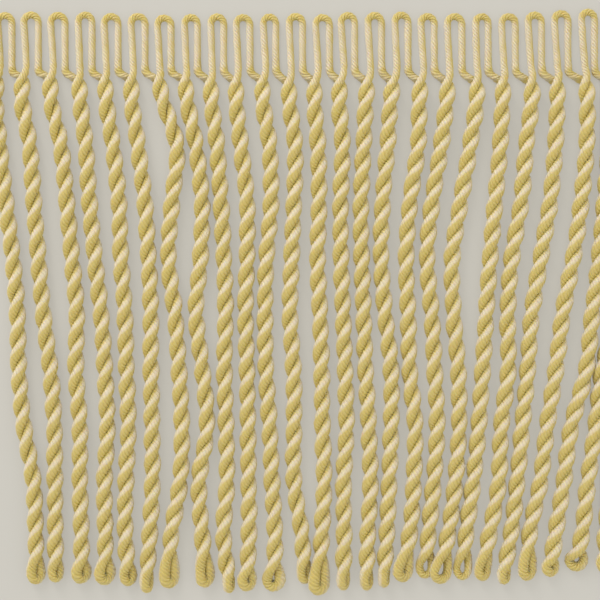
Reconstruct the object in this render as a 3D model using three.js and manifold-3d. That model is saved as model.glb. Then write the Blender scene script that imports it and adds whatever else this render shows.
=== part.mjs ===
// Bullion fringe: one corded yarn, bent into heading loops and doubled back on itself into twisted strands.
// Millimetres. The fringe lies flat with its back at z = 0. The heading is towards +Y, the strands hang
// towards -Y, the length of trimming runs along X, and the origin is at the middle of the underside.
import * as THREE from 'three';
import Module from 'manifold-3d';

const wasm = await Module();
wasm.setup();

// Driving sizes
const STRAND = { width: 4.4, waist: 2.2 }; // across both plies side by side, and across one ply
const ROOT = { width: 2.8, height: 2.6 }; // where the cord opens out into the strand
const CORD = { back: 1.86, crown: 1.4, height: 1.8 }; // heading cord: flat back, narrower rounded front
const FOOT = { flat: 2.4, edgeways: 4.2, slim: 4.0 }; // a foot narrower than slim has turned on its edge
const COLOUR = 0xc3b478;

// The layout is in steps of a sheet 600 wide, x to the right and y down, each step this many millimetres
const STEP = 0.2655;
const MID = { x: 333.756, y: 301.5 };
const LEVEL = { first: 90, apart: 56 }; // the first of the levels at which a strand's middle is given
const LEG_BOTTOM = 67; // where a heading loop's legs stop running straight
const ROOT_Y = 78;
const NECK_BELOW = 11; // from a strand's last turn to the neck of its foot
const HOOK = { tuck: 84, out: 7, end: 78 }; // where a right leg tucks in behind the next root, or ends cut
const CUT_START = { left: 10, up: 13 }; // the yarn's cut start, from where it tucks in
const FOOT_RINGS = [
  { up: 13.5, wide: 1, high: 1 },
  { up: 4.5, wide: 0.84, high: 0.9 },
  { up: 0, wide: 0.36, high: 0.55 },
];

// One row for each repeat, from left to right, in the layout's steps. The columns are:
// loop, the left leg's x at its top and bottom, the right leg's x, and the y of the crest;
// turns, the y of the first and of the last half turn, and the half turns between them;
// foot, the x of its left and right side, and the y of its end;
// hang, the x of the strand's middle at each level.
const REPEATS = [
  [[-3, 0, 11.2, 11], [88, 545, 20], [26.5, 45.6, 585],
    [-4, 0, 6, 13, 17.5, 19, 24, 33.5, 36]],
  [[23, 26, 37.7, 10.5], [88, 548, 20], [47.6, 64, 583.5],
    [22, 30, 34, 38.5, 43.5, 50.5, 54.5, 55, 55.5]],
  [[50, 53, 64.5, 11], [88, 548, 20], [71, 92, 584],
    [50.5, 61, 67, 72, 77, 76, 80, 80, 81.5]],
  [[77.5, 79.5, 91.5, 10.5], [90, 546, 20], [94, 116, 585.5],
    [79.5, 86, 89.5, 95, 101, 105, 107.5, 104.5, 105.5]],
  [[103.5, 106, 117.7, 12], [90, 551, 20], [119, 137.5, 587],
    [105.5, 113, 119, 121, 125, 126.5, 128.5, 126, 125.5]],
  [[130.5, 133, 144.7, 12], [90, 558, 20], [140, 153.5, 593.5],
    [131.5, 138, 145, 148.5, 151, 151, 152, 152.5, 149.5]],
  [[157, 159.5, 170.7, 13.5], [90, 538, 19], [158.5, 180, 588.5],
    [160.5, 177, 172, 168.5, 175, 179, 182, 180, 171]],
  [[184, 186, 197.2, 13], [90, 540, 19], [195, 215.5, 588],
    [186, 196, 202, 200.5, 196, 202.5, 207, 199, 202.5]],
  [[210.5, 212, 223.5, 12.5], [92, 563, 20], [223, 234.8, 593.5],
    [211, 217, 221, 224, 225.5, 224.5, 226, 227, 223.5]],
  [[236, 238, 249.8, 13], [92, 556, 20], [236.4, 257.5, 591.5],
    [236, 241, 247, 247, 245.5, 247, 248, 248.5, 249]],
  [[263, 265.5, 275.7, 12.5], [91, 550, 20], [261.5, 286, 592.5],
    [262.5, 269.5, 271, 266.5, 265, 266, 269.5, 272, 275]],
  [[289, 291, 302.5, 12], [93, 547, 20], [296.5, 306.6, 584.5],
    [289, 295, 294, 291.5, 290, 293.5, 294, 294, 302]],
  [[315.5, 318, 329.5, 13], [93, 542, 19], [308, 330.5, 595.5],
    [314.5, 318, 319, 317.5, 320, 321.5, 322.5, 324, 321.5]],
  [[341, 344, 354.7, 11], [92, 557, 20], [336.5, 350, 591],
    [339.5, 342.5, 340.5, 341, 343, 345, 346.5, 343.5, 344]],
  [[368, 370.5, 381.7, 11], [92, 556, 20], [359.5, 373.5, 591],
    [367, 363.5, 361, 361.5, 363.5, 365.5, 368.5, 370.5, 367.5]],
  [[395, 397, 408.2, 10.5], [92, 555, 20], [378, 389.6, 588],
    [392, 387.5, 382.5, 381, 385, 391, 391, 389, 386.5]],
  [[421, 423.5, 434.5, 12], [92, 536, 19], [391.4, 414, 582.5],
    [420, 418, 410, 406, 408, 409.5, 415, 413.5, 409]],
  [[447.5, 449.5, 462.2, 12], [92, 537, 19], [415.4, 427, 579.5],
    [447.5, 441, 432, 427, 431.5, 434.5, 437, 433.5, 428]],
  [[476, 477, 488.5, 12], [92, 537, 19], [428.6, 450.9, 584],
    [477, 470, 460.5, 452, 453.5, 458, 459, 455, 447.3]],
  [[502, 504, 515.7, 12], [92, 536, 19], [452.4, 471.5, 581],
    [503, 500, 495, 490, 486, 482.5, 478.5, 473, 465.4]],
  [[528.5, 531, 542, 10.5], [92, 536, 19], [472.9, 492, 581.5],
    [532, 526, 521, 511.5, 507.5, 508, 501, 498.5, 488.5]],
  [[555, 557.5, 568.5, 9], [92, 553, 20], [496.5, 511, 585],
    [557.5, 555, 550, 540.5, 531.5, 527.5, 522, 517, 510]],
  [[582, 585, 595, 7.5], [91, 533, 19], [516.5, 537.8, 581],
    [586.5, 586.5, 581, 573, 562.5, 555.5, 547, 540, 528.8]],
  [[609, 611.5, 621.5, 8], [92, 545, 20], [540, 560.5, 577.5],
    [613, 609, 604, 599, 592, 586, 571, 563.5, 554.5]],
  [[635.5, 638, 648.5, 8.5], [92, 537, 19], [564.5, 589, 572],
    [640, 636, 631, 625, 616, 602, 595.5, 587.5, 581]],
  [[662, 664.5, 675, 9], [92, 538, 19], [594, 615, 573.5],
    [667, 662, 656, 650, 642, 630, 621, 611, 605]],
].map(([loop, turns, foot, hang]) => ({ loop, turns, foot, hang }));

// Places on the fringe, in millimetres, from the layout's steps
const place = (x, y, height) => new THREE.Vector3((x - MID.x) * STEP, (MID.y - y) * STEP, height);

// The middle of a hanging strand at one y: a smooth curve through its levels, straight past both ends
function middleAt(hang, y) {
  const along = (y - LEVEL.first) / LEVEL.apart;
  const from = THREE.MathUtils.clamp(Math.floor(along), 0, hang.length - 2);
  const [b, c] = [hang[from], hang[from + 1]];
  const a = from > 0 ? hang[from - 1] : 2 * b - c;
  const d = from + 2 < hang.length ? hang[from + 2] : 2 * c - b;
  const t = THREE.MathUtils.clamp(along - from, 0, 1);
  return b + 0.5 * t * (c - a + t * (2 * a - 5 * b + 4 * c - d + t * (3 * (b - c) + d - a)));
}

// A section of four corners about a point of the yarn, each as far out to the side and up as corner says.
// The first is at the bottom before any turn, and all step back by a quarter for each quarter turned,
// so a block's corners, which stand between a plied section's, are half a quarter turn from it.
function section(middle, side, turned, corner) {
  return [0, 1, 2, 3].map((index) => {
    const angle = (Math.PI / 2) * (index - 1 - turned);
    const [out, up] = corner(Math.cos(angle), Math.sin(angle), index % 2 === 1);
    return middle.clone().addScaledVector(side, out).add(new THREE.Vector3(0, 0, up));
  });
}

// A block section, with its top as wide as crown
const block = (width, height, crown = width) => (across, upward) => [
  Math.sign(across) * (upward > 0 ? crown : width) / 2,
  Math.sign(upward) * height / 2,
];

// The section of two plies: its odd corners are the plies' crests and its even ones the furrows between
const plied = (width, waist) => (across, upward, crest) => {
  const reach = (crest ? width : waist) / 2;
  return [across * reach, upward * reach];
};

const LEFTWARDS = new THREE.Vector3(-1, 0, 0);

// The heading loop: from the hook at the foot of its right leg, over the crest and down its left leg
function headingRings({ loop: [leftTop, leftBottom, right, crest] }, next) {
  const half = (right - leftTop) / 2;
  const centre = { x: leftTop + half, y: crest + CORD.back / 2 / STEP + half };
  const arc = [0, 45, 90, 135, 180].map(THREE.MathUtils.degToRad);
  const hook = next ? [middleAt(next.hang, HOOK.tuck), HOOK.tuck] : [right + HOOK.out, HOOK.end];
  const route = [
    hook,
    [right, LEG_BOTTOM],
    ...arc.map((turn) => [centre.x + half * Math.cos(turn), centre.y - half * Math.sin(turn)]),
    [leftBottom, LEG_BOTTOM],
  ].map(([x, y]) => place(x, y, CORD.height / 2));
  return route.map((point, index) => {
    const before = route[Math.max(index - 1, 0)];
    const after = route[Math.min(index + 1, route.length - 1)];
    const along = after.clone().sub(before).normalize();
    const side = new THREE.Vector3(along.y, -along.x, 0);
    return section(point, side, -0.5, block(CORD.back, CORD.height, CORD.crown));
  });
}

// The strand: the root under the left leg, a section at each quarter turn, and the looped foot
function strandRings({ loop, hang, turns: [first, last, halfTurns], foot: [left, right, end] }) {
  const rest = STRAND.width / 2;
  const rings = [];
  const rootX = (loop[1] + middleAt(hang, ROOT_Y)) / 2;
  rings.push(section(place(rootX, ROOT_Y, rest), LEFTWARDS, -0.5, block(ROOT.width, ROOT.height)));

  const quarter = (last - first) / halfTurns / 2;
  const quarters = 2 * halfTurns;
  const twisted = plied(STRAND.width, STRAND.waist);
  for (let turned = 0; turned <= quarters; turned += 1) {
    const y = first + turned * quarter;
    rings.push(section(place(middleAt(hang, y), y, rest), LEFTWARDS, turned, twisted));
  }

  const footX = (left + right) / 2;
  const footWidth = (right - left) * STEP;
  const footHeight = footWidth < FOOT.slim ? FOOT.edgeways : FOOT.flat;
  const neckX = (middleAt(hang, last) + footX) / 2;
  rings.push(section(place(neckX, last + NECK_BELOW, rest), LEFTWARDS, quarters + 1, twisted));
  for (const { up, wide, high } of FOOT_RINGS) {
    const shape = block(footWidth * wide, footHeight * high);
    rings.push(section(place(footX, end - up, footHeight / 2), LEFTWARDS, quarters + 1.5, shape));
  }
  return rings;
}

// A closed solid through sections, with each side face split along the diagonal that keeps it full
function skin(rings) {
  const vertProperties = new Float32Array(rings.flat().flatMap((corner) => corner.toArray()));
  const faces = [];
  for (let ring = 0; ring < rings.length - 1; ring += 1) {
    for (let corner = 0; corner < 4; corner += 1) {
      const a = 4 * ring + corner;
      const b = 4 * ring + ((corner + 1) % 4);
      faces.push([a, b + 4, b], [a, a + 4, b + 4]);
    }
  }
  const last = 4 * (rings.length - 1);
  faces.push([0, 1, 2], [0, 2, 3], [last, last + 2, last + 1], [last, last + 3, last + 2]);
  const triVerts = new Uint32Array(faces.flat());
  return new wasm.Manifold(new wasm.Mesh({ numProp: 3, vertProperties, triVerts }));
}

// The cut end of the yarn, tucked in behind the first strand's root
function startOfYarn({ hang }) {
  const shape = block(CORD.back, CORD.height, CORD.crown);
  const tuck = middleAt(hang, HOOK.tuck);
  const cutEnd = place(tuck - CUT_START.left, HOOK.tuck - CUT_START.up, CORD.height / 2);
  const inside = place(tuck, HOOK.tuck, CORD.height / 2);
  return skin([cutEnd, inside].map((middle) => section(middle, LEFTWARDS, -0.5, shape)));
}

function fringe() {
  let solid = startOfYarn(REPEATS[0]);
  REPEATS.forEach((repeat, index) => {
    const rings = [...headingRings(repeat, REPEATS[index + 1]), ...strandRings(repeat)];
    solid = solid.add(skin(rings));
  });
  const { vertProperties, triVerts } = solid.getMesh();
  const geometry = new THREE.BufferGeometry();
  geometry.setAttribute('position', new THREE.BufferAttribute(vertProperties, 3));
  geometry.setIndex(new THREE.BufferAttribute(triVerts, 1));
  return geometry;
}

const yarn = new THREE.MeshStandardMaterial({ color: COLOUR, roughness: 0.75, metalness: 0 });
yarn.flatShading = true;
const bullion = new THREE.Mesh(fringe(), yarn);
bullion.name = 'bullion_fringe';

const part = new THREE.Group();
part.add(bullion);

export default part;
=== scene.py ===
"""Bullion fringe for Blender: one yarn bent into heading loops and doubled into twisted strands."""

import bpy
import numpy as np
from bpy.props import FloatProperty, FloatVectorProperty, IntProperty, PointerProperty
from bpy.types import Operator, Panel, PropertyGroup
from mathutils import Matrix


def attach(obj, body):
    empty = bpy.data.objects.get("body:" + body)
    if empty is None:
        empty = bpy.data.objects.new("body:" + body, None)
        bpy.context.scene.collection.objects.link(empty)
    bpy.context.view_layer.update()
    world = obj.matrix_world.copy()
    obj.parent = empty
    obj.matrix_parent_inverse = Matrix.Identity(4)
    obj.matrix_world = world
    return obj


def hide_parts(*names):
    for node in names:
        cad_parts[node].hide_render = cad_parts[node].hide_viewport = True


bl_info = {
    "name": "Bullion Fringe",
    "version": (1, 0, 0),
    "blender": (4, 5, 0),
    "location": "View3D > Sidebar > Fringe",
    "description": "Makes a bullion fringe of one corded yarn, with its heading loops and twisted strands",
    "category": "Add Mesh",
}

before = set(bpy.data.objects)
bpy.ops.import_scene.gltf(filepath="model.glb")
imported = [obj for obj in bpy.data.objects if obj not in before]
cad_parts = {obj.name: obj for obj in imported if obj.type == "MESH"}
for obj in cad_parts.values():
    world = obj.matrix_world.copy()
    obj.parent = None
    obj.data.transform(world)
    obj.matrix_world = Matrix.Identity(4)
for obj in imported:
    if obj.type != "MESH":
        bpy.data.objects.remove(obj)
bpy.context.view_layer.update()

# Layout on the photograph's grid: x runs along the heading and y down the strands
STEP = 0.0002655
MIDDLE = (333.756, 301.5)
PICTURE_WIDTH = 600.0
PICTURE_MIDDLE = (300.0, 300.0)
# Levels at which the middle of each strand is given
LEVELS = np.arange(90.0, 539.0, 56.0)
# Lowest level of a loop's left leg and of its right leg, and level from which the left leg rises
LEG_LOW = 64.0
HOOK_LOW = 69.0
LIFT_FROM = 46.0
# Level from which the right leg grows fuller towards its hook, and by what share
FULLER_FROM = 61.0
HOOK_FULLER = 0.15
# Depth below the root at which a strand's first ply starts, because its hook comes in from behind
HOOK_TUCK = 5.0
# The cord becomes a full ply from this far above a root to this far below its first side-by-side level
FILL_ABOVE = 7.0
FILL_BELOW = 5.0
# Height above its lowest edge at which a foot is fully open
FOOT_OPEN = 12.5
# Cut ends of the yarn: their place from the first strand's middle or the last leg, and the way they run
CUT_START = (-10.0, 71.0)
START_RUN = (1.0, 1.0)
CUT_END = (7.0, 78.0)
END_RUN = (1.0, 1.6)

# Each row is one repeat of the fringe, in layout steps:
# loop (left leg at the top, left leg low down, right leg, crest),
# turns (first side-by-side level, last one, half turns between them),
# foot (left edge, right edge, lowest edge), hang (middle of the strand at each level)
REPEATS = (
    ((-3, 0, 11.2, 11), (88, 545, 20), (26.5, 45.6, 585),
     (-4, 0, 6, 13, 17.5, 19, 24, 33.5, 36)),
    ((23, 26, 37.7, 10.5), (88, 548, 20), (47.6, 64, 583.5),
     (22, 30, 34, 38.5, 43.5, 50.5, 54.5, 55, 55.5)),
    ((50, 53, 64.5, 11), (88, 548, 20), (71, 92, 584),
     (50.5, 61, 67, 72, 77, 76, 80, 80, 81.5)),
    ((77.5, 79.5, 91.5, 10.5), (90, 546, 20), (94, 116, 585.5),
     (79.5, 86, 89.5, 95, 101, 105, 107.5, 104.5, 105.5)),
    ((103.5, 106, 117.7, 12), (90, 551, 20), (119, 137.5, 587),
     (105.5, 113, 119, 121, 125, 126.5, 128.5, 126, 125.5)),
    ((130.5, 133, 144.7, 12), (90, 558, 20), (140, 153.5, 593.5),
     (131.5, 138, 145, 148.5, 151, 151, 152, 152.5, 149.5)),
    ((157, 159.5, 170.7, 13.5), (90, 538, 19), (158.5, 180, 588.5),
     (160.5, 177, 172, 168.5, 175, 179, 182, 180, 171)),
    ((184, 186, 197.2, 13), (90, 540, 19), (195, 215.5, 588),
     (186, 196, 202, 200.5, 196, 202.5, 207, 199, 202.5)),
    ((210.5, 212, 223.5, 12.5), (92, 563, 20), (223, 234.8, 593.5),
     (211, 217, 221, 224, 225.5, 224.5, 226, 227, 223.5)),
    ((236, 238, 249.8, 13), (92, 556, 20), (236.4, 257.5, 591.5),
     (236, 241, 247, 247, 245.5, 247, 248, 248.5, 249)),
    ((263, 265.5, 275.7, 12.5), (91, 550, 20), (261.5, 286, 592.5),
     (262.5, 269.5, 271, 266.5, 265, 266, 269.5, 272, 275)),
    ((289, 291, 302.5, 12), (93, 547, 20), (296.5, 312.5, 584.5),
     (289, 295, 294, 291.5, 290, 293.5, 294, 294, 302)),
    ((315.5, 318, 329.5, 13), (93, 542, 19), (307.5, 330.5, 595.5),
     (314.5, 318, 319, 317.5, 320, 321.5, 322.5, 324, 321.5)),
    ((341, 344, 354.7, 11), (92, 557, 20), (336.5, 350, 591),
     (339.5, 342.5, 340.5, 341, 343, 345, 346.5, 343.5, 344)),
    ((368, 370.5, 381.7, 11), (92, 556, 20), (359.5, 373.5, 591),
     (367, 363.5, 361, 361.5, 363.5, 365.5, 368.5, 370.5, 367.5)),
    ((395, 397, 408.2, 10.5), (92, 555, 20), (378, 389.6, 588),
     (392, 387.5, 382.5, 381, 385, 391, 391, 389, 386.5)),
    ((421, 423.5, 434.5, 12), (92, 536, 19), (391.4, 414, 582.5),
     (420, 418, 410, 406, 408, 409.5, 415, 413.5, 409)),
    ((447.5, 449.5, 462.2, 12), (92, 537, 19), (415.4, 436, 579.5),
     (447.5, 441, 432, 427, 431.5, 434.5, 437, 433.5, 428)),
    ((476, 477, 488.5, 12), (92, 537, 19), (428.6, 452.5, 584),
     (477, 470, 460.5, 452, 453.5, 458, 459, 455, 447.3)),
    ((502, 504, 515.7, 12), (92, 536, 19), (453, 472.5, 581),
     (503, 500, 495, 490, 486, 482.5, 478.5, 473, 465.4)),
    ((528.5, 531, 542, 10.5), (92, 536, 19), (472.9, 492, 581.5),
     (532, 526, 521, 511.5, 507.5, 508, 501, 498.5, 488.5)),
    ((555, 557.5, 568.5, 9), (92, 553, 20), (496.5, 511, 585),
     (557.5, 555, 550, 540.5, 531.5, 527.5, 522, 517, 510)),
    ((582, 585, 595, 7.5), (91, 533, 19), (516.5, 537.8, 581),
     (586.5, 586.5, 581, 573, 562.5, 555.5, 547, 540, 528.8)),
    ((609, 611.5, 621.5, 8), (92, 545, 20), (540, 560.5, 577.5),
     (613, 609, 604, 599, 592, 586, 571, 563.5, 554.5)),
    ((635.5, 638, 648.5, 8.5), (92, 537, 19), (564.5, 589, 572),
     (640, 636, 631, 625, 616, 602, 595.5, 587.5, 581)),
    ((662, 664.5, 675, 9), (92, 538, 19), (594, 615, 573.5),
     (667, 662, 656, 650, 642, 630, 621, 611, 605)),
)
# Repeats whose foot lies on the one before it, and widths of the eyes that stay open in some feet
OVERLAPPING_FEET = (13, 19)
OVERLAP_SLANT = np.radians(28)
OPEN_EYES = {11: 0.0008, 18: 0.0016, 19: 0.0017, 20: 0.0015, 25: 0.0018}
# Width of a foot in limb radii, and least and greatest radius of a limb as shares of its ply's
FOOT_LIMBS = 3.6
CLOSED_LIMB = 0.9
OPEN_LIMB = 0.75
THICK_LIMB = 1.3
# Least distance of a limb from the middle of its foot, sideways in metres and in all in limb radii
LEAST_REACH = 0.0003
LIMBS_APART = 0.95
# Share of the full winding at a root, and the slow wander of a strand's turn: its size in radians, its
# rate a layout step and its shift from strand to strand
ROOT_WIND = 0.72
TURN_WANDER = 0.07
WANDER_RATE = 0.043
WANDER_SHIFT = 2.1
# Height by which the left leg of a loop rises on to the hook behind it
LEG_LIFT = 0.0007
# Way from a cut end to what it would be wound round, far enough off to leave the end round
UPWARDS = (0.0, 0.0, 0.002)
# Numbers of rows in a strand, in the bend of a foot and in each part of a loop
STRAND_ROWS = 700
FOOT_ROWS = 60
LOOP_ROWS = 40
# Part of the way from a hook to the next strand at which the yarn is split into pieces
SPLIT_AT = 0.75
# Fine rows for each ring of the yarn, and how many of them its bends are softened over
FINE_ROWS = 3
SOFTENING = 3

# Share of the groove's depth at each point across a thread, from one groove to the next
THREAD_PROFILE = np.array([1.0, 0.16, 0.0, 0.16])
# Unevenness along the yarn, as waves of a size, a rate in radians a metre and a start
LAY_SLIP = ((0.22, 410, 0), (0.16, 930, 2))
THICKNESS = ((0.025, 290, 0), (0.02, 1130, 1))
# The same for each thread by itself: size, rate and start, and what each thread adds to those two
THREAD_SIZE = 0.03
THREAD_RATE = (620, 90)
THREAD_START = (0, 2.4)
# Rings of points in the length in which a thread goes once round the yarn
RINGS_A_LAY = 11
# Rings over which a cut end is rounded, and the least share of its size squared
BLUNT_RINGS = 3
BLUNT_LEAST = 0.3

# Shade runs from a pale painted highlight at 0 to golden painted shade at 1: the tone of loose cord, the
# painted shade that a tight bend adds, and the painted shade that the right side adds and the left side
# takes off
LOOSE_SHADE = 0.05
BEND_SHADE = 0.16
SIDE_SHADE = 0.11
# Radius of a bend that counts as tight
TIGHT_BEND = 0.0018
# How fast a ply's side of painted shade changes over where the yarn turns from running down to running up
CHANGE_OVER = 2
# How far the cord has become a full ply when its sides of painted highlight and painted shade start, as a
# share
PAINTED_SIDES_FROM = 0.375

# Paleness of the yarn at shade 0, as the tone of loose cord and a painted highlight, how fast it falls with
# painted shade, and how far dye and fibres vary it
PALEST = 1.1
PALE_FALL = 6.5
DYE_VARIES = 0.9
FIBRES_VARY = 0.8
# Olive painted shade in a groove, for each unit of shade and in all, then painted shade in the darkest
# shades, and olive between fibres
GROOVE_SHADE = 0.9
GROOVE_OLIVE = 0.25
SHADE_OLIVE = 0.8
FIBRE_OLIVE = 0.7
OLIVE_FROM = 0.55
# Grain of the fibres across a thread and in a centimetre of it, and of the dye from thread to thread and
# in a centimetre
FIBRES_ACROSS = 8
FIBRES_ALONG = 6
DYE_ACROSS = 0.37
DYE_ALONG = 1.3
DYE_PLANE = 3.0
# Relief of the fibres and of the groove's edge in the bump
FIBRE_RELIEF = 1.2
GROOVE_RELIEF = 0.5
# Units of the threads' map in a metre of yarn, and the angle from which an edge is sharp, as at a cut end
MAP_SCALE = 100
SHARP_EDGE = np.radians(75)

# Height at which the picture is as wide as its view width, and how far the floor is below the yarn and
# reaches out
STRAND_MIDDLE = 0.002
FLOOR_GAP = 0.00005
FLOOR_REACH = 3.0
# Place of the main light from the middle of the picture
WINDOW_PLACE = (-0.34, 0.60, 0.42)


class FringeYarn(PropertyGroup):
    """Sizes and colours of the yarn."""
    cord: FloatProperty(
        name="Cord", description="Thickness of the yarn in the heading loops",
        default=0.00198, unit="LENGTH")
    ply_thick: FloatProperty(
        name="Ply thickness", description="Thickness of a strand's ply, from the strand's middle outwards",
        default=0.0027, unit="LENGTH")
    ply_wide: FloatProperty(
        name="Ply width", description="Width of a strand's ply where it crosses in front",
        default=0.0029, unit="LENGTH")
    strand: FloatProperty(
        name="Strand", description="Width of a strand where its two plies lie side by side",
        default=0.0047, unit="LENGTH")
    threads: IntProperty(
        name="Threads", description="Threads twisted into the yarn",
        default=5, min=3)
    lay: FloatProperty(
        name="Thread lay", description="Length of yarn in which a thread goes once round it",
        default=0.005, unit="LENGTH")
    groove: FloatProperty(
        name="Groove", description="Depth of the groove between threads in a strand, in radii of the yarn",
        default=0.13, subtype="FACTOR")
    tight_groove: FloatProperty(
        name="Heading groove", description="Depth of the groove between threads in the heading loops",
        default=0.27, subtype="FACTOR")
    # A ply's golden side is painted shade, and its other side a painted highlight
    shade_turn: FloatProperty(
        name="Shade turn", description="Turn of a ply's golden side from its inside towards the foot",
        default=np.radians(45), subtype="ANGLE")
    # Pale: the own tone of loose cord, and a painted highlight on a ply's side towards the heading and on
    # the left side of loose cord
    pale: FloatVectorProperty(
        name="Pale yarn", description="Colour of a ply's side towards the heading, and of most loose cord",
        default=(0.67, 0.59, 0.43), size=3, subtype="COLOR")
    # Gold: the yarn's own colour, shown as painted shade on a ply's side towards the foot and its inside,
    # and on tight bends
    gold: FloatVectorProperty(
        name="Golden yarn", description="Colour of a ply's side towards the foot, and of tight bends",
        default=(0.58, 0.47, 0.15), size=3, subtype="COLOR")
    # Olive: painted shade deep between the threads and the plies
    olive: FloatVectorProperty(
        name="Groove colour", description="Colour deep between the threads and the plies",
        default=(0.52, 0.40, 0.07), size=3, subtype="COLOR")


class FringeStage(PropertyGroup):
    """Floor, light and camera."""
    floor: FloatVectorProperty(
        name="Floor", description="Colour of the floor",
        default=(0.588, 0.57, 0.517), size=3, subtype="COLOR")
    glow: FloatProperty(
        name="Floor glow", description="Share of the floor's brightness that comes through it from below",
        default=0.6, subtype="FACTOR")
    window: FloatProperty(
        name="Main light", description="Power of the soft light at upper left",
        default=1.05)
    fill: FloatProperty(
        name="Fill light", description="Strength of the light from all round",
        default=0.95)
    lens: FloatProperty(
        name="Lens", description="Focal length of the camera in millimetres",
        default=100.0)
    view_width: FloatProperty(
        name="View width", description="Width of the picture where the strands lie",
        default=PICTURE_WIDTH * STEP, unit="LENGTH")


def on_table(x, y):
    """The place of a layout point, in metres."""
    return (x - MIDDLE[0]) * STEP, (MIDDLE[1] - y) * STEP


def through(knots, values, where):
    """A smooth line through values at knots, read at where."""
    slopes = np.gradient(values, knots)
    piece = np.clip(np.searchsorted(knots, where) - 1, 0, len(knots) - 2)
    span = knots[piece + 1] - knots[piece]
    t = (where - knots[piece]) / span
    return (
        (2 * t**3 - 3 * t**2 + 1) * values[piece]
        + (t**3 - 2 * t**2 + t) * span * slopes[piece]
        + (3 * t**2 - 2 * t**3) * values[piece + 1]
        + (t**3 - t**2) * span * slopes[piece + 1]
    )


def ease(t, start_slope=0.0):
    """A curve that rises from 0 to 1 as t does, leaves at start_slope and arrives level."""
    t = np.clip(t, 0.0, 1.0)
    return (3 - 2 * t) * t**2 + start_slope * t * (1 - t) ** 2


def waver(run, waves):
    """Slow unevenness along the yarn, as a sum of waves."""
    return sum(size * np.sin(run * rate + start) for size, rate, start in waves)


def route(points, inward, half_thick, half_wide):
    """Rows of a yarn's route: its place, the way to what it is wound round, and its two half sizes."""
    count = len(points)
    halves = [np.broadcast_to(size, count) for size in (half_thick, half_wide)]
    return np.column_stack([points, inward, *halves])


def bridge(before, after, count=40):
    """The bend that joins the end of one route to the start of the next."""
    start, end = before[-1], after[0]
    reach = np.linalg.norm(end[:3] - start[:3])
    leave = before[-1, :3] - before[-2, :3]
    arrive = after[1, :3] - after[0, :3]
    leave *= reach / np.linalg.norm(leave)
    arrive *= reach / np.linalg.norm(arrive)
    t = np.linspace(0.0, 1.0, count)[1:-1, None]
    rows = start + (end - start) * ease(t)
    rows[:, :3] += leave * t * (1 - t) ** 2 - arrive * t**2 * (1 - t)
    return rows


def foot_shape(number, width, thick):
    """Radius of a foot's limbs, their distance from the middle of the foot, and the slant between them."""
    thinnest = OPEN_LIMB if number in OPEN_EYES else CLOSED_LIMB
    eye = OPEN_EYES.get(number, 0.0)
    limb = np.clip((width - eye) / FOOT_LIMBS, thinnest * thick, THICK_LIMB * thick)
    beside = max(width / 2 - limb, LEAST_REACH)
    if number in OVERLAPPING_FEET:
        return limb, beside / np.cos(OVERLAP_SLANT), OVERLAP_SLANT
    reach = max(beside, LIMBS_APART * limb)
    return limb, reach, np.arccos(beside / reach)


def strand_route(number, repeat, yarn):
    """Down one ply of a strand, round its foot and up the other ply."""
    (_, left_low, _, _), (first, last, halves), (foot_left, foot_right, end), hang = repeat
    quarter = (last - first) / halves / 2
    root, neck, open_level = first - quarter, last + quarter, end - FOOT_OPEN
    thick, wide, cord = yarn.ply_thick / 2, yarn.ply_wide / 2, yarn.cord / 2
    wind = yarn.strand / 2 - thick
    limb, reach, slant = foot_shape(number, (foot_right - foot_left) * STEP, thick)

    y = np.linspace(root, open_level, STRAND_ROWS)
    middle = through(
        np.concatenate([[LEG_LOW], LEVELS, [open_level]]),
        np.concatenate([[left_low], hang, [(foot_left + foot_right) / 2]]), y)
    filled = ease((y - root + FILL_ABOVE) / (quarter + FILL_ABOVE + FILL_BELOW))
    past_neck = (y - neck) / (open_level - neck)
    opened = ease(past_neck)
    to_open = np.pi / 2 - slant
    turned = np.pi + np.pi / 2 * (np.minimum(y, neck) - first) / quarter
    rate = np.pi / 2 / quarter * (open_level - neck) / to_open
    turned += to_open * ease(past_neck, rate)
    turned += TURN_WANDER * np.sin(y * WANDER_RATE + number * WANDER_SHIFT) * (1 - opened) * filled
    winding = wind * (ROOT_WIND + (1 - ROOT_WIND) * filled)
    radius = winding * (1 - opened) + reach * opened
    half_thick = cord + (thick - cord) * filled + (limb - thick) * opened
    half_wide = cord + (wide - cord) * filled - (wide - thick) * opened
    lying = half_thick + winding
    height = lying * (1 - opened) + (max(limb, thick) + reach * np.sin(slant)) * opened
    tucked = y > root + HOOK_TUCK

    x, depth = on_table(middle, y)
    sides = []
    for turn in (turned + np.pi, turned):
        out = np.column_stack([np.cos(turn), np.zeros_like(turn), np.sin(turn)]) * radius[:, None]
        sides.append(route(np.column_stack([x, depth, height]) + out, -out, half_thick, half_wide))
    down, up = sides[0][tucked], sides[1][::-1]

    centre = np.array([x[-1], depth[-1], height[-1]])
    side = down[-1, :3] - centre
    drop = np.array([0.0, limb - FOOT_OPEN * STEP, 0.0])
    bend = np.linspace(0.0, np.pi, FOOT_ROWS)[1:-1, None]
    out = side * np.cos(bend) + drop * np.sin(bend)
    foot = route(centre + out, -out, limb, thick)
    return np.concatenate([down, foot, up])


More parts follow.
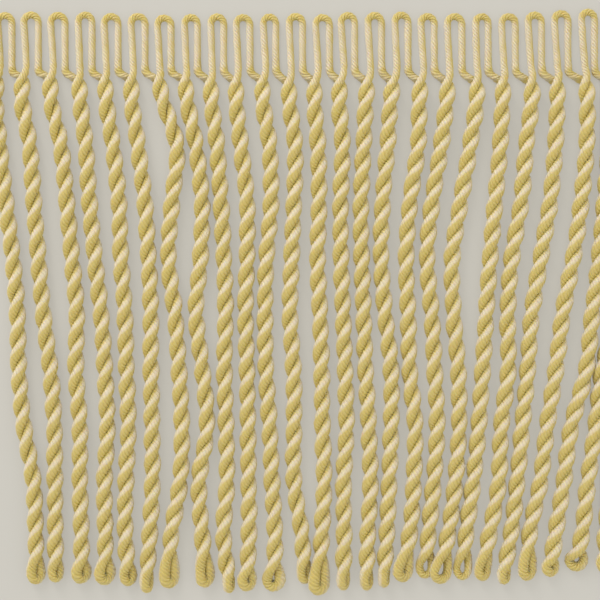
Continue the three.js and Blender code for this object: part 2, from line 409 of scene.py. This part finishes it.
def loop_route(repeat, yarn):
    """Up the left leg of a heading loop, round its crest and down its right leg."""
    left_top, left_low, right, crest = repeat[0]
    half = yarn.cord / 2
    span = (right - left_top) / 2
    shoulder = crest + half / STEP + span
    centre = left_top + span
    y = np.linspace(LEG_LOW, shoulder, LOOP_ROWS)
    x = left_low + (left_top - left_low) * (LEG_LOW - y) / (LEG_LOW - shoulder)
    lifted = half + LEG_LIFT * ease((y - LIFT_FROM) / (LEG_LOW - LIFT_FROM))
    turn = np.linspace(np.pi, 0.0, LOOP_ROWS)[1:-1]
    back = np.linspace(shoulder, HOOK_LOW, LOOP_ROWS)
    across = np.concatenate([x, centre + span * np.cos(turn), np.full_like(back, right)])
    down = np.concatenate([y, shoulder - span * np.sin(turn), back])
    size = np.full_like(down, half)
    size[-len(back):] *= 1 + HOOK_FULLER * ease((back - FULLER_FROM) / (HOOK_LOW - FULLER_FROM))
    height = np.concatenate([lifted, size[len(lifted):]])
    points = np.column_stack([*on_table(across, down), height])
    middle = on_table(np.full_like(down, centre), np.maximum(down, shoulder))
    inward = np.column_stack([*middle, height]) - points
    return route(points, inward, size, size)


def cut_route(start, end, yarn):
    """A short straight run of cord between two layout points, for a cut end."""
    half = yarn.cord / 2
    points = np.array([[*on_table(*start), half], [*on_table(*end), half]])
    return route(points, np.array([UPWARDS] * 2), half, half)


def whole_route(yarn):
    """The route of the whole yarn, and the rows at which the strands start."""
    start_x, start_y = REPEATS[0][3][0] + CUT_START[0], CUT_START[1]
    end_x, end_y = REPEATS[-1][0][2] + CUT_END[0], CUT_END[1]
    parts = [cut_route((start_x, start_y), (start_x + START_RUN[0], start_y + START_RUN[1]), yarn)]
    for number, repeat in enumerate(REPEATS, 1):
        parts += [strand_route(number, repeat, yarn), loop_route(repeat, yarn)]
    parts.append(cut_route((end_x - END_RUN[0], end_y - END_RUN[1]), (end_x, end_y), yarn))

    # Pieces are split between a loop and the next strand, at every odd joint but the first and last
    rows, starts, count = [parts[0]], [], len(parts[0])
    for index, part in enumerate(parts[1:], 1):
        joint = bridge(parts[index - 1], part)
        if index % 2 and 1 < index < len(parts) - 1:
            starts.append(count + int(len(joint) * SPLIT_AT))
        rows += [joint, part]
        count += len(joint) + len(part)
    return np.concatenate(rows), starts


def evenly(rows, starts, spacing):
    """The route with its bends softened and its rows one spacing apart."""
    run = np.concatenate([[0.0], np.cumsum(np.linalg.norm(np.diff(rows[:, :3], axis=0), axis=1))])
    at = np.arange(0.0, run[-1], spacing / FINE_ROWS)
    even = np.column_stack([np.interp(at, run, column) for column in rows.T])
    window = 3 * SOFTENING
    weights = np.exp(-0.5 * (np.arange(-window, window + 1) / SOFTENING) ** 2)
    weights /= weights.sum()
    padded = np.pad(even, ((window, window), (0, 0)), mode="edge")
    soft = np.column_stack([np.convolve(column, weights, mode="valid") for column in padded.T])
    return soft[::FINE_ROWS], [int(round(run[start] / spacing)) for start in starts]


def carried(along, start):
    """A direction across the yarn, taken along it without turning round it."""
    across = np.empty_like(along)
    across[0] = start
    for index in range(1, len(along)):
        axis = along[index]
        step = across[index - 1] - axis * across[index - 1].dot(axis)
        across[index] = step / np.sqrt(step.dot(step))
    return across


def yarn_ribs(run, wound, yarn):
    """The radius all round the yarn as a share of its full one, with threads, wavers and blunt cut ends."""
    thread = np.repeat(np.arange(yarn.threads), len(THREAD_PROFILE))
    groove = yarn.tight_groove + (yarn.groove - yarn.tight_groove) * wound
    ribs = 1 - groove[:, None] * np.tile(THREAD_PROFILE, yarn.threads)
    rate, start = (first + each * thread for first, each in (THREAD_RATE, THREAD_START))
    ribs += THREAD_SIZE * np.sin(run[:, None] * rate + start)
    end = np.minimum(np.arange(len(run)), np.arange(len(run))[::-1])
    closing = 1 - (1 - end / BLUNT_RINGS) ** 2
    blunt = np.sqrt(np.where(end < BLUNT_RINGS, np.clip(closing, BLUNT_LEAST, 1), 1))
    return ribs * ((1 + waver(run, THICKNESS)) * blunt)[:, None]


def yarn_surface(rows, spacing, yarn):
    """Rings of points round the yarn, and the painted light and shade of each point, from a pale painted
    highlight at 0 to golden painted shade at 1.
    """
    around = yarn.threads * len(THREAD_PROFILE)
    centres, inward, half_thick, half_wide = rows[:, :3], rows[:, 3:6], rows[:, 6], rows[:, 7]
    along = np.gradient(centres, axis=0)
    along /= np.linalg.norm(along, axis=1, keepdims=True)
    inward = inward - along * np.sum(inward * along, axis=1, keepdims=True)
    contact = np.linalg.norm(inward, axis=1, keepdims=True)
    inward /= contact
    sideways = np.cross(along, inward)

    run = np.arange(len(rows)) * spacing
    upright = carried(along, inward[0])
    across = np.cross(along, upright)
    lay = waver(run, LAY_SLIP) - 2 * np.pi * run / yarn.lay
    turn = 2 * np.pi * np.arange(around) / around + lay[:, None]
    spoke = upright[:, None] * np.cos(turn)[..., None] + across[:, None] * np.sin(turn)[..., None]
    facing = np.sum(spoke * inward[:, None], axis=2)
    beside = np.sum(spoke * sideways[:, None], axis=2)

    # Loose cord is wound 0 and a full ply of a strand is wound 1
    wound = np.clip((half_wide - yarn.cord / 2) / (yarn.ply_wide - yarn.cord) * 2, 0, 1)
    ribs = yarn_ribs(run, wound, yarn)
    # Two plies press flat against each other halfway between their middles
    depth = np.minimum(facing * half_thick[:, None] * ribs, contact)
    points = (
        centres[:, None]
        + inward[:, None] * depth[..., None]
        + sideways[:, None] * (beside * half_wide[:, None] * ribs)[..., None]
    )
    # The yarn lies flat where it rests on the surface under it
    points[..., 2] = np.maximum(points[..., 2], 0.0)

    # Painted shade on tight bends, and a painted highlight on the left side of loose cord with painted
    # shade on its right side
    bend = np.linalg.norm(np.gradient(along, axis=0), axis=1) / spacing * TIGHT_BEND
    loose = LOOSE_SHADE + BEND_SHADE * np.minimum(bend, 1)[:, None] + SIDE_SHADE * spoke[..., 0]
    # Painted shade on a ply's inside, where it presses on the other ply, and on its side towards the foot,
    # and a painted highlight on its side towards the heading
    footwards = np.clip(-CHANGE_OVER * along[:, 1], -1, 1)[:, None] * beside
    golden = facing * np.cos(yarn.shade_turn) + footwards * np.sin(yarn.shade_turn)
    painted_sides = np.clip((wound - PAINTED_SIDES_FROM) / (1 - PAINTED_SIDES_FROM), 0, 1)[:, None]
    shade = loose + ((1 + golden) / 2 - loose) * painted_sides
    return points, shade


def yarn_piece(name, points, shade, run, finish):
    """One length of yarn as a closed mesh, with its threads laid out straight in its UV map."""
    rings, around = shade.shape
    ring = np.arange(rings - 1)[:, None] * around
    column = np.arange(around)
    after = (column + 1) % around
    walls = np.stack([ring + column, ring + after, ring + around + after, ring + around + column], axis=2)
    caps = np.concatenate([column[::-1], (rings - 1) * around + column])
    corners = np.concatenate([walls.reshape(-1), caps])
    quads = (rings - 1) * around
    begins = np.concatenate([np.arange(quads) * 4, [quads * 4, quads * 4 + around]])

    mesh = bpy.data.meshes.new(name)
    mesh.vertices.add(rings * around)
    mesh.vertices.foreach_set("co", points.reshape(-1).astype(np.float32))
    mesh.loops.add(len(corners))
    mesh.loops.foreach_set("vertex_index", corners.astype(np.int32))
    mesh.polygons.add(quads + 2)
    mesh.polygons.foreach_set("loop_start", begins.astype(np.int32))
    mesh.update(calc_edges=True)

    points_a_thread = len(THREAD_PROFILE)
    across = np.stack(np.broadcast_arrays(column, column + 1, column + 1, column), axis=1)
    across = np.broadcast_to(across / points_a_thread, (rings - 1, around, 4))
    mapped = run * MAP_SCALE
    ahead = np.stack([mapped[:-1], mapped[:-1], mapped[1:], mapped[1:]], axis=1)
    ahead = np.broadcast_to(ahead[:, None], (rings - 1, around, 4))
    walls_uv = np.stack([across, ahead], axis=3).reshape(-1, 2)
    caps_uv = np.column_stack([np.tile(column / points_a_thread, 2), np.repeat(mapped[[0, -1]], around)])
    uv = mesh.uv_layers.new(name="threads")
    uv.data.foreach_set("uv", np.concatenate([walls_uv, caps_uv]).reshape(-1).astype(np.float32))
    shades = mesh.attributes.new("shade", "FLOAT", "POINT")
    shades.data.foreach_set("value", shade.reshape(-1).astype(np.float32))
    mesh.shade_smooth()
    mesh.set_sharp_from_angle(angle=SHARP_EDGE)
    mesh.validate()
    mesh.materials.append(finish)
    piece = bpy.data.objects.new(name, mesh)
    bpy.context.scene.collection.objects.link(piece)
    return piece


class Value:
    """A number socket of a finish, so that sums of sockets read as sums."""

    def __init__(self, finish, socket):
        self.finish, self.socket = finish, socket

    def maths(self, operation, first, second=0.0):
        return self.finish.node("ShaderNodeMath", {"operation": operation}, {0: first, 1: second})

    def __add__(self, other):
        return self.maths("ADD", self, other)

    def __sub__(self, other):
        return self.maths("SUBTRACT", self, other)

    def __rsub__(self, other):
        return self.maths("SUBTRACT", other, self)

    def __mul__(self, other):
        return self.maths("MULTIPLY", self, other)

    def __pow__(self, other):
        return self.maths("POWER", self, other)

    def __abs__(self):
        return self.maths("ABSOLUTE", self)

    __radd__, __rmul__ = __add__, __mul__


class Finish:
    """A material and its nodes."""

    def __init__(self, name):
        self.material = bpy.data.materials.new(name)
        self.material.use_nodes = True
        self.tree = self.material.node_tree
        self.tree.nodes.clear()

    def node(self, kind, settings, sockets, output=0):
        """Adds a node with its settings and its socket values or links, and gives one of its outputs."""
        node = self.tree.nodes.new(kind)
        for key, value in settings.items():
            setattr(node, key, value)
        for key, value in sockets.items():
            if isinstance(value, Value):
                self.tree.links.new(value.socket, node.inputs[key])
            else:
                node.inputs[key].default_value = value
        return Value(self, node.outputs[output]) if node.outputs else None

    def noise(self, x, y, z, detail):
        """An even noise read at a place made of three numbers."""
        place = self.node("ShaderNodeCombineXYZ", {}, {0: x, 1: y, 2: z})
        return self.node("ShaderNodeTexNoise", {}, {"Vector": place, "Scale": 1.0, "Detail": detail})

    def mix(self, share, first, second):
        """A colour between two others."""
        settings = {"data_type": "RGBA", "clamp_factor": True}
        return self.node("ShaderNodeMix", settings, {0: share, 6: first, 7: second}, 2)


def yarn_finish(yarn):
    """Satin yarn with a pale painted highlight and golden painted shade, olive painted shade in its
    grooves, fine fibres and an uneven dye.
    """
    finish = Finish("satin_yarn")
    uv = finish.node("ShaderNodeUVMap", {"uv_map": "threads"}, {})
    u = finish.node("ShaderNodeSeparateXYZ", {}, {0: uv}, 0)
    v = finish.node("ShaderNodeSeparateXYZ", {}, {0: uv}, 1)
    thread = finish.node("ShaderNodeMath", {"operation": "FLOOR"}, {0: u})
    part = finish.node("ShaderNodeMath", {"operation": "FRACT"}, {0: u})
    groove = abs(part * 2 - 1) ** 3
    shade = finish.node("ShaderNodeAttribute", {"attribute_name": "shade"}, {}, 2)
    fibres = finish.noise(u * FIBRES_ACROSS, v * FIBRES_ALONG, 0.0, detail=3.0)
    dye = finish.noise(thread * DYE_ACROSS, v * DYE_ALONG, DYE_PLANE, detail=2.0)

    # Pale painted highlight turning into the golden yarn colour as painted shade as the shade rises, varied
    # by dye and fibres
    paler = PALEST - shade * PALE_FALL + (dye - 0.5) * DYE_VARIES + (fibres - 0.5) * FIBRES_VARY
    body = finish.mix(paler, (*yarn.gold, 1.0), (*yarn.pale, 1.0))
    # Olive painted shade in the grooves between threads and on the most shaded side, and olive grain
    # between fibres
    in_groove = groove * (shade * GROOVE_SHADE + GROOVE_OLIVE)
    deep = in_groove + (shade - OLIVE_FROM) * SHADE_OLIVE + (fibres - OLIVE_FROM) * FIBRE_OLIVE
    colour = finish.mix(deep, body, (*yarn.olive, 1.0))
    height = fibres * FIBRE_RELIEF - groove * GROOVE_RELIEF
    bump = finish.node(
        "ShaderNodeBump", {}, {"Height": height, "Strength": 0.8, "Distance": 0.00014})
    smooth, rougher = 0.4, 0.2
    shader = finish.node("ShaderNodeBsdfPrincipled", {}, {
        "Base Color": colour, "Roughness": smooth + rougher * groove, "Normal": bump,
        "Subsurface Weight": 0.7, "Subsurface Radius": (1.0, 0.8, 0.35), "Subsurface Scale": 0.001,
        "Specular IOR Level": 0.5, "Sheen Weight": 0.4, "Sheen Roughness": 0.4,
        "Sheen Tint": (1.0, 0.95, 0.9, 1.0)})
    finish.node("ShaderNodeOutputMaterial", {}, {"Surface": shader})
    return finish.material


class FRINGE_OT_stage(Operator):
    """Lays the floor and sets up the light and the camera"""
    bl_idname = "fringe.stage"
    bl_label = "Stage"

    def execute(self, context):
        stage = context.scene.fringe_stage
        middle = on_table(*PICTURE_MIDDLE)

        finish = Finish("floor")
        lit = [channel * (1 - stage.glow) for channel in stage.floor]
        shader = finish.node("ShaderNodeBsdfPrincipled", {}, {
            "Base Color": (*lit, 1.0), "Roughness": 0.9, "Specular IOR Level": 0.1,
            "Emission Color": (*stage.floor, 1.0), "Emission Strength": stage.glow})
        finish.node("ShaderNodeOutputMaterial", {}, {"Surface": shader})
        mesh = bpy.data.meshes.new("floor")
        corners = [(x * FLOOR_REACH, y * FLOOR_REACH, 0) for x, y in ((-1, -1), (1, -1), (1, 1), (-1, 1))]
        mesh.from_pydata(corners, [], [(0, 1, 2, 3)])
        mesh.materials.append(finish.material)
        floor = bpy.data.objects.new("floor", mesh)
        floor.location.z = -FLOOR_GAP
        context.scene.collection.objects.link(floor)

        world = bpy.data.worlds.new("daylight")
        world.use_nodes = True
        sky = world.node_tree.nodes["Background"]
        sky.inputs["Color"].default_value = (1.0, 0.985, 0.96, 1.0)
        sky.inputs["Strength"].default_value = stage.fill
        context.scene.world = world
        context.scene.view_settings.view_transform = "Standard"

        light = bpy.data.lights.new("window", "AREA")
        light.energy = stage.window
        light.shape = "RECTANGLE"
        light.size, light.size_y = 0.16, 0.72
        light.color = (1.0, 0.96, 0.96)
        light.spread = np.radians(100)
        window = bpy.data.objects.new("window", light)
        across, along, up = WINDOW_PLACE
        window.location = (middle[0] + across, middle[1] + along, up)
        context.scene.collection.objects.link(window)
        aim = window.constraints.new("TRACK_TO")
        aim.track_axis, aim.up_axis = "TRACK_NEGATIVE_Z", "UP_Y"
        aim.target = floor
        context.view_layer.update()
        window.matrix_world = window.matrix_world.copy()
        window.constraints.remove(aim)

        lens = bpy.data.cameras.new("camera")
        lens.lens = stage.lens
        lens.sensor_width = 36.0
        camera = bpy.data.objects.new("camera", lens)
        height = stage.view_width * stage.lens / lens.sensor_width + STRAND_MIDDLE
        camera.location = (*middle, height)
        context.scene.collection.objects.link(camera)
        context.scene.camera = camera
        return {"FINISHED"}


class FRINGE_OT_repeats(Operator):
    """Makes the yarn, one piece for each strand with its heading loop"""
    bl_idname = "fringe.repeats"
    bl_label = "Strands and heading loops"

    def execute(self, context):
        yarn = context.scene.fringe_yarn
        spacing = yarn.lay / RINGS_A_LAY
        rows, starts = evenly(*whole_route(yarn), spacing)
        points, shade = yarn_surface(rows, spacing, yarn)
        run = np.arange(len(rows)) * spacing
        finish = yarn_finish(yarn)
        bounds = [0, *starts, len(rows) - 1]
        if len(bounds) != len(REPEATS) + 1:
            raise RuntimeError("the yarn doesn't have one start for each strand")
        for number, (begin, end) in enumerate(zip(bounds, bounds[1:]), 1):
            part = slice(begin, end + 1)
            piece = yarn_piece(f"repeat_{number:02d}", points[part], shade[part], run[part], finish)
            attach(piece, "root")
            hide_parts("bullion_fringe")
        return {"FINISHED"}


class FRINGE_PT_panel(Panel):
    """Sizes and colours of the fringe, and the buttons that make it"""
    bl_label = "Bullion fringe"
    bl_idname = "FRINGE_PT_panel"
    bl_space_type = "VIEW_3D"
    bl_region_type = "UI"
    bl_category = "Fringe"

    def draw(self, context):
        for group in (context.scene.fringe_yarn, context.scene.fringe_stage):
            for name in group.__annotations__:
                self.layout.prop(group, name)
        for operator in (FRINGE_OT_stage, FRINGE_OT_repeats):
            self.layout.operator(operator.bl_idname)


CLASSES = (FringeYarn, FringeStage, FRINGE_OT_stage, FRINGE_OT_repeats, FRINGE_PT_panel)


def register():
    for cls in CLASSES:
        bpy.utils.register_class(cls)
    bpy.types.Scene.fringe_yarn = PointerProperty(type=FringeYarn)
    bpy.types.Scene.fringe_stage = PointerProperty(type=FringeStage)


def unregister():
    del bpy.types.Scene.fringe_stage
    del bpy.types.Scene.fringe_yarn
    for cls in reversed(CLASSES):
        bpy.utils.unregister_class(cls)


def main():
    """Makes the whole scene."""
    register()
    bpy.ops.fringe.stage()
    bpy.ops.fringe.repeats()


if __name__ == "__main__":
    main()
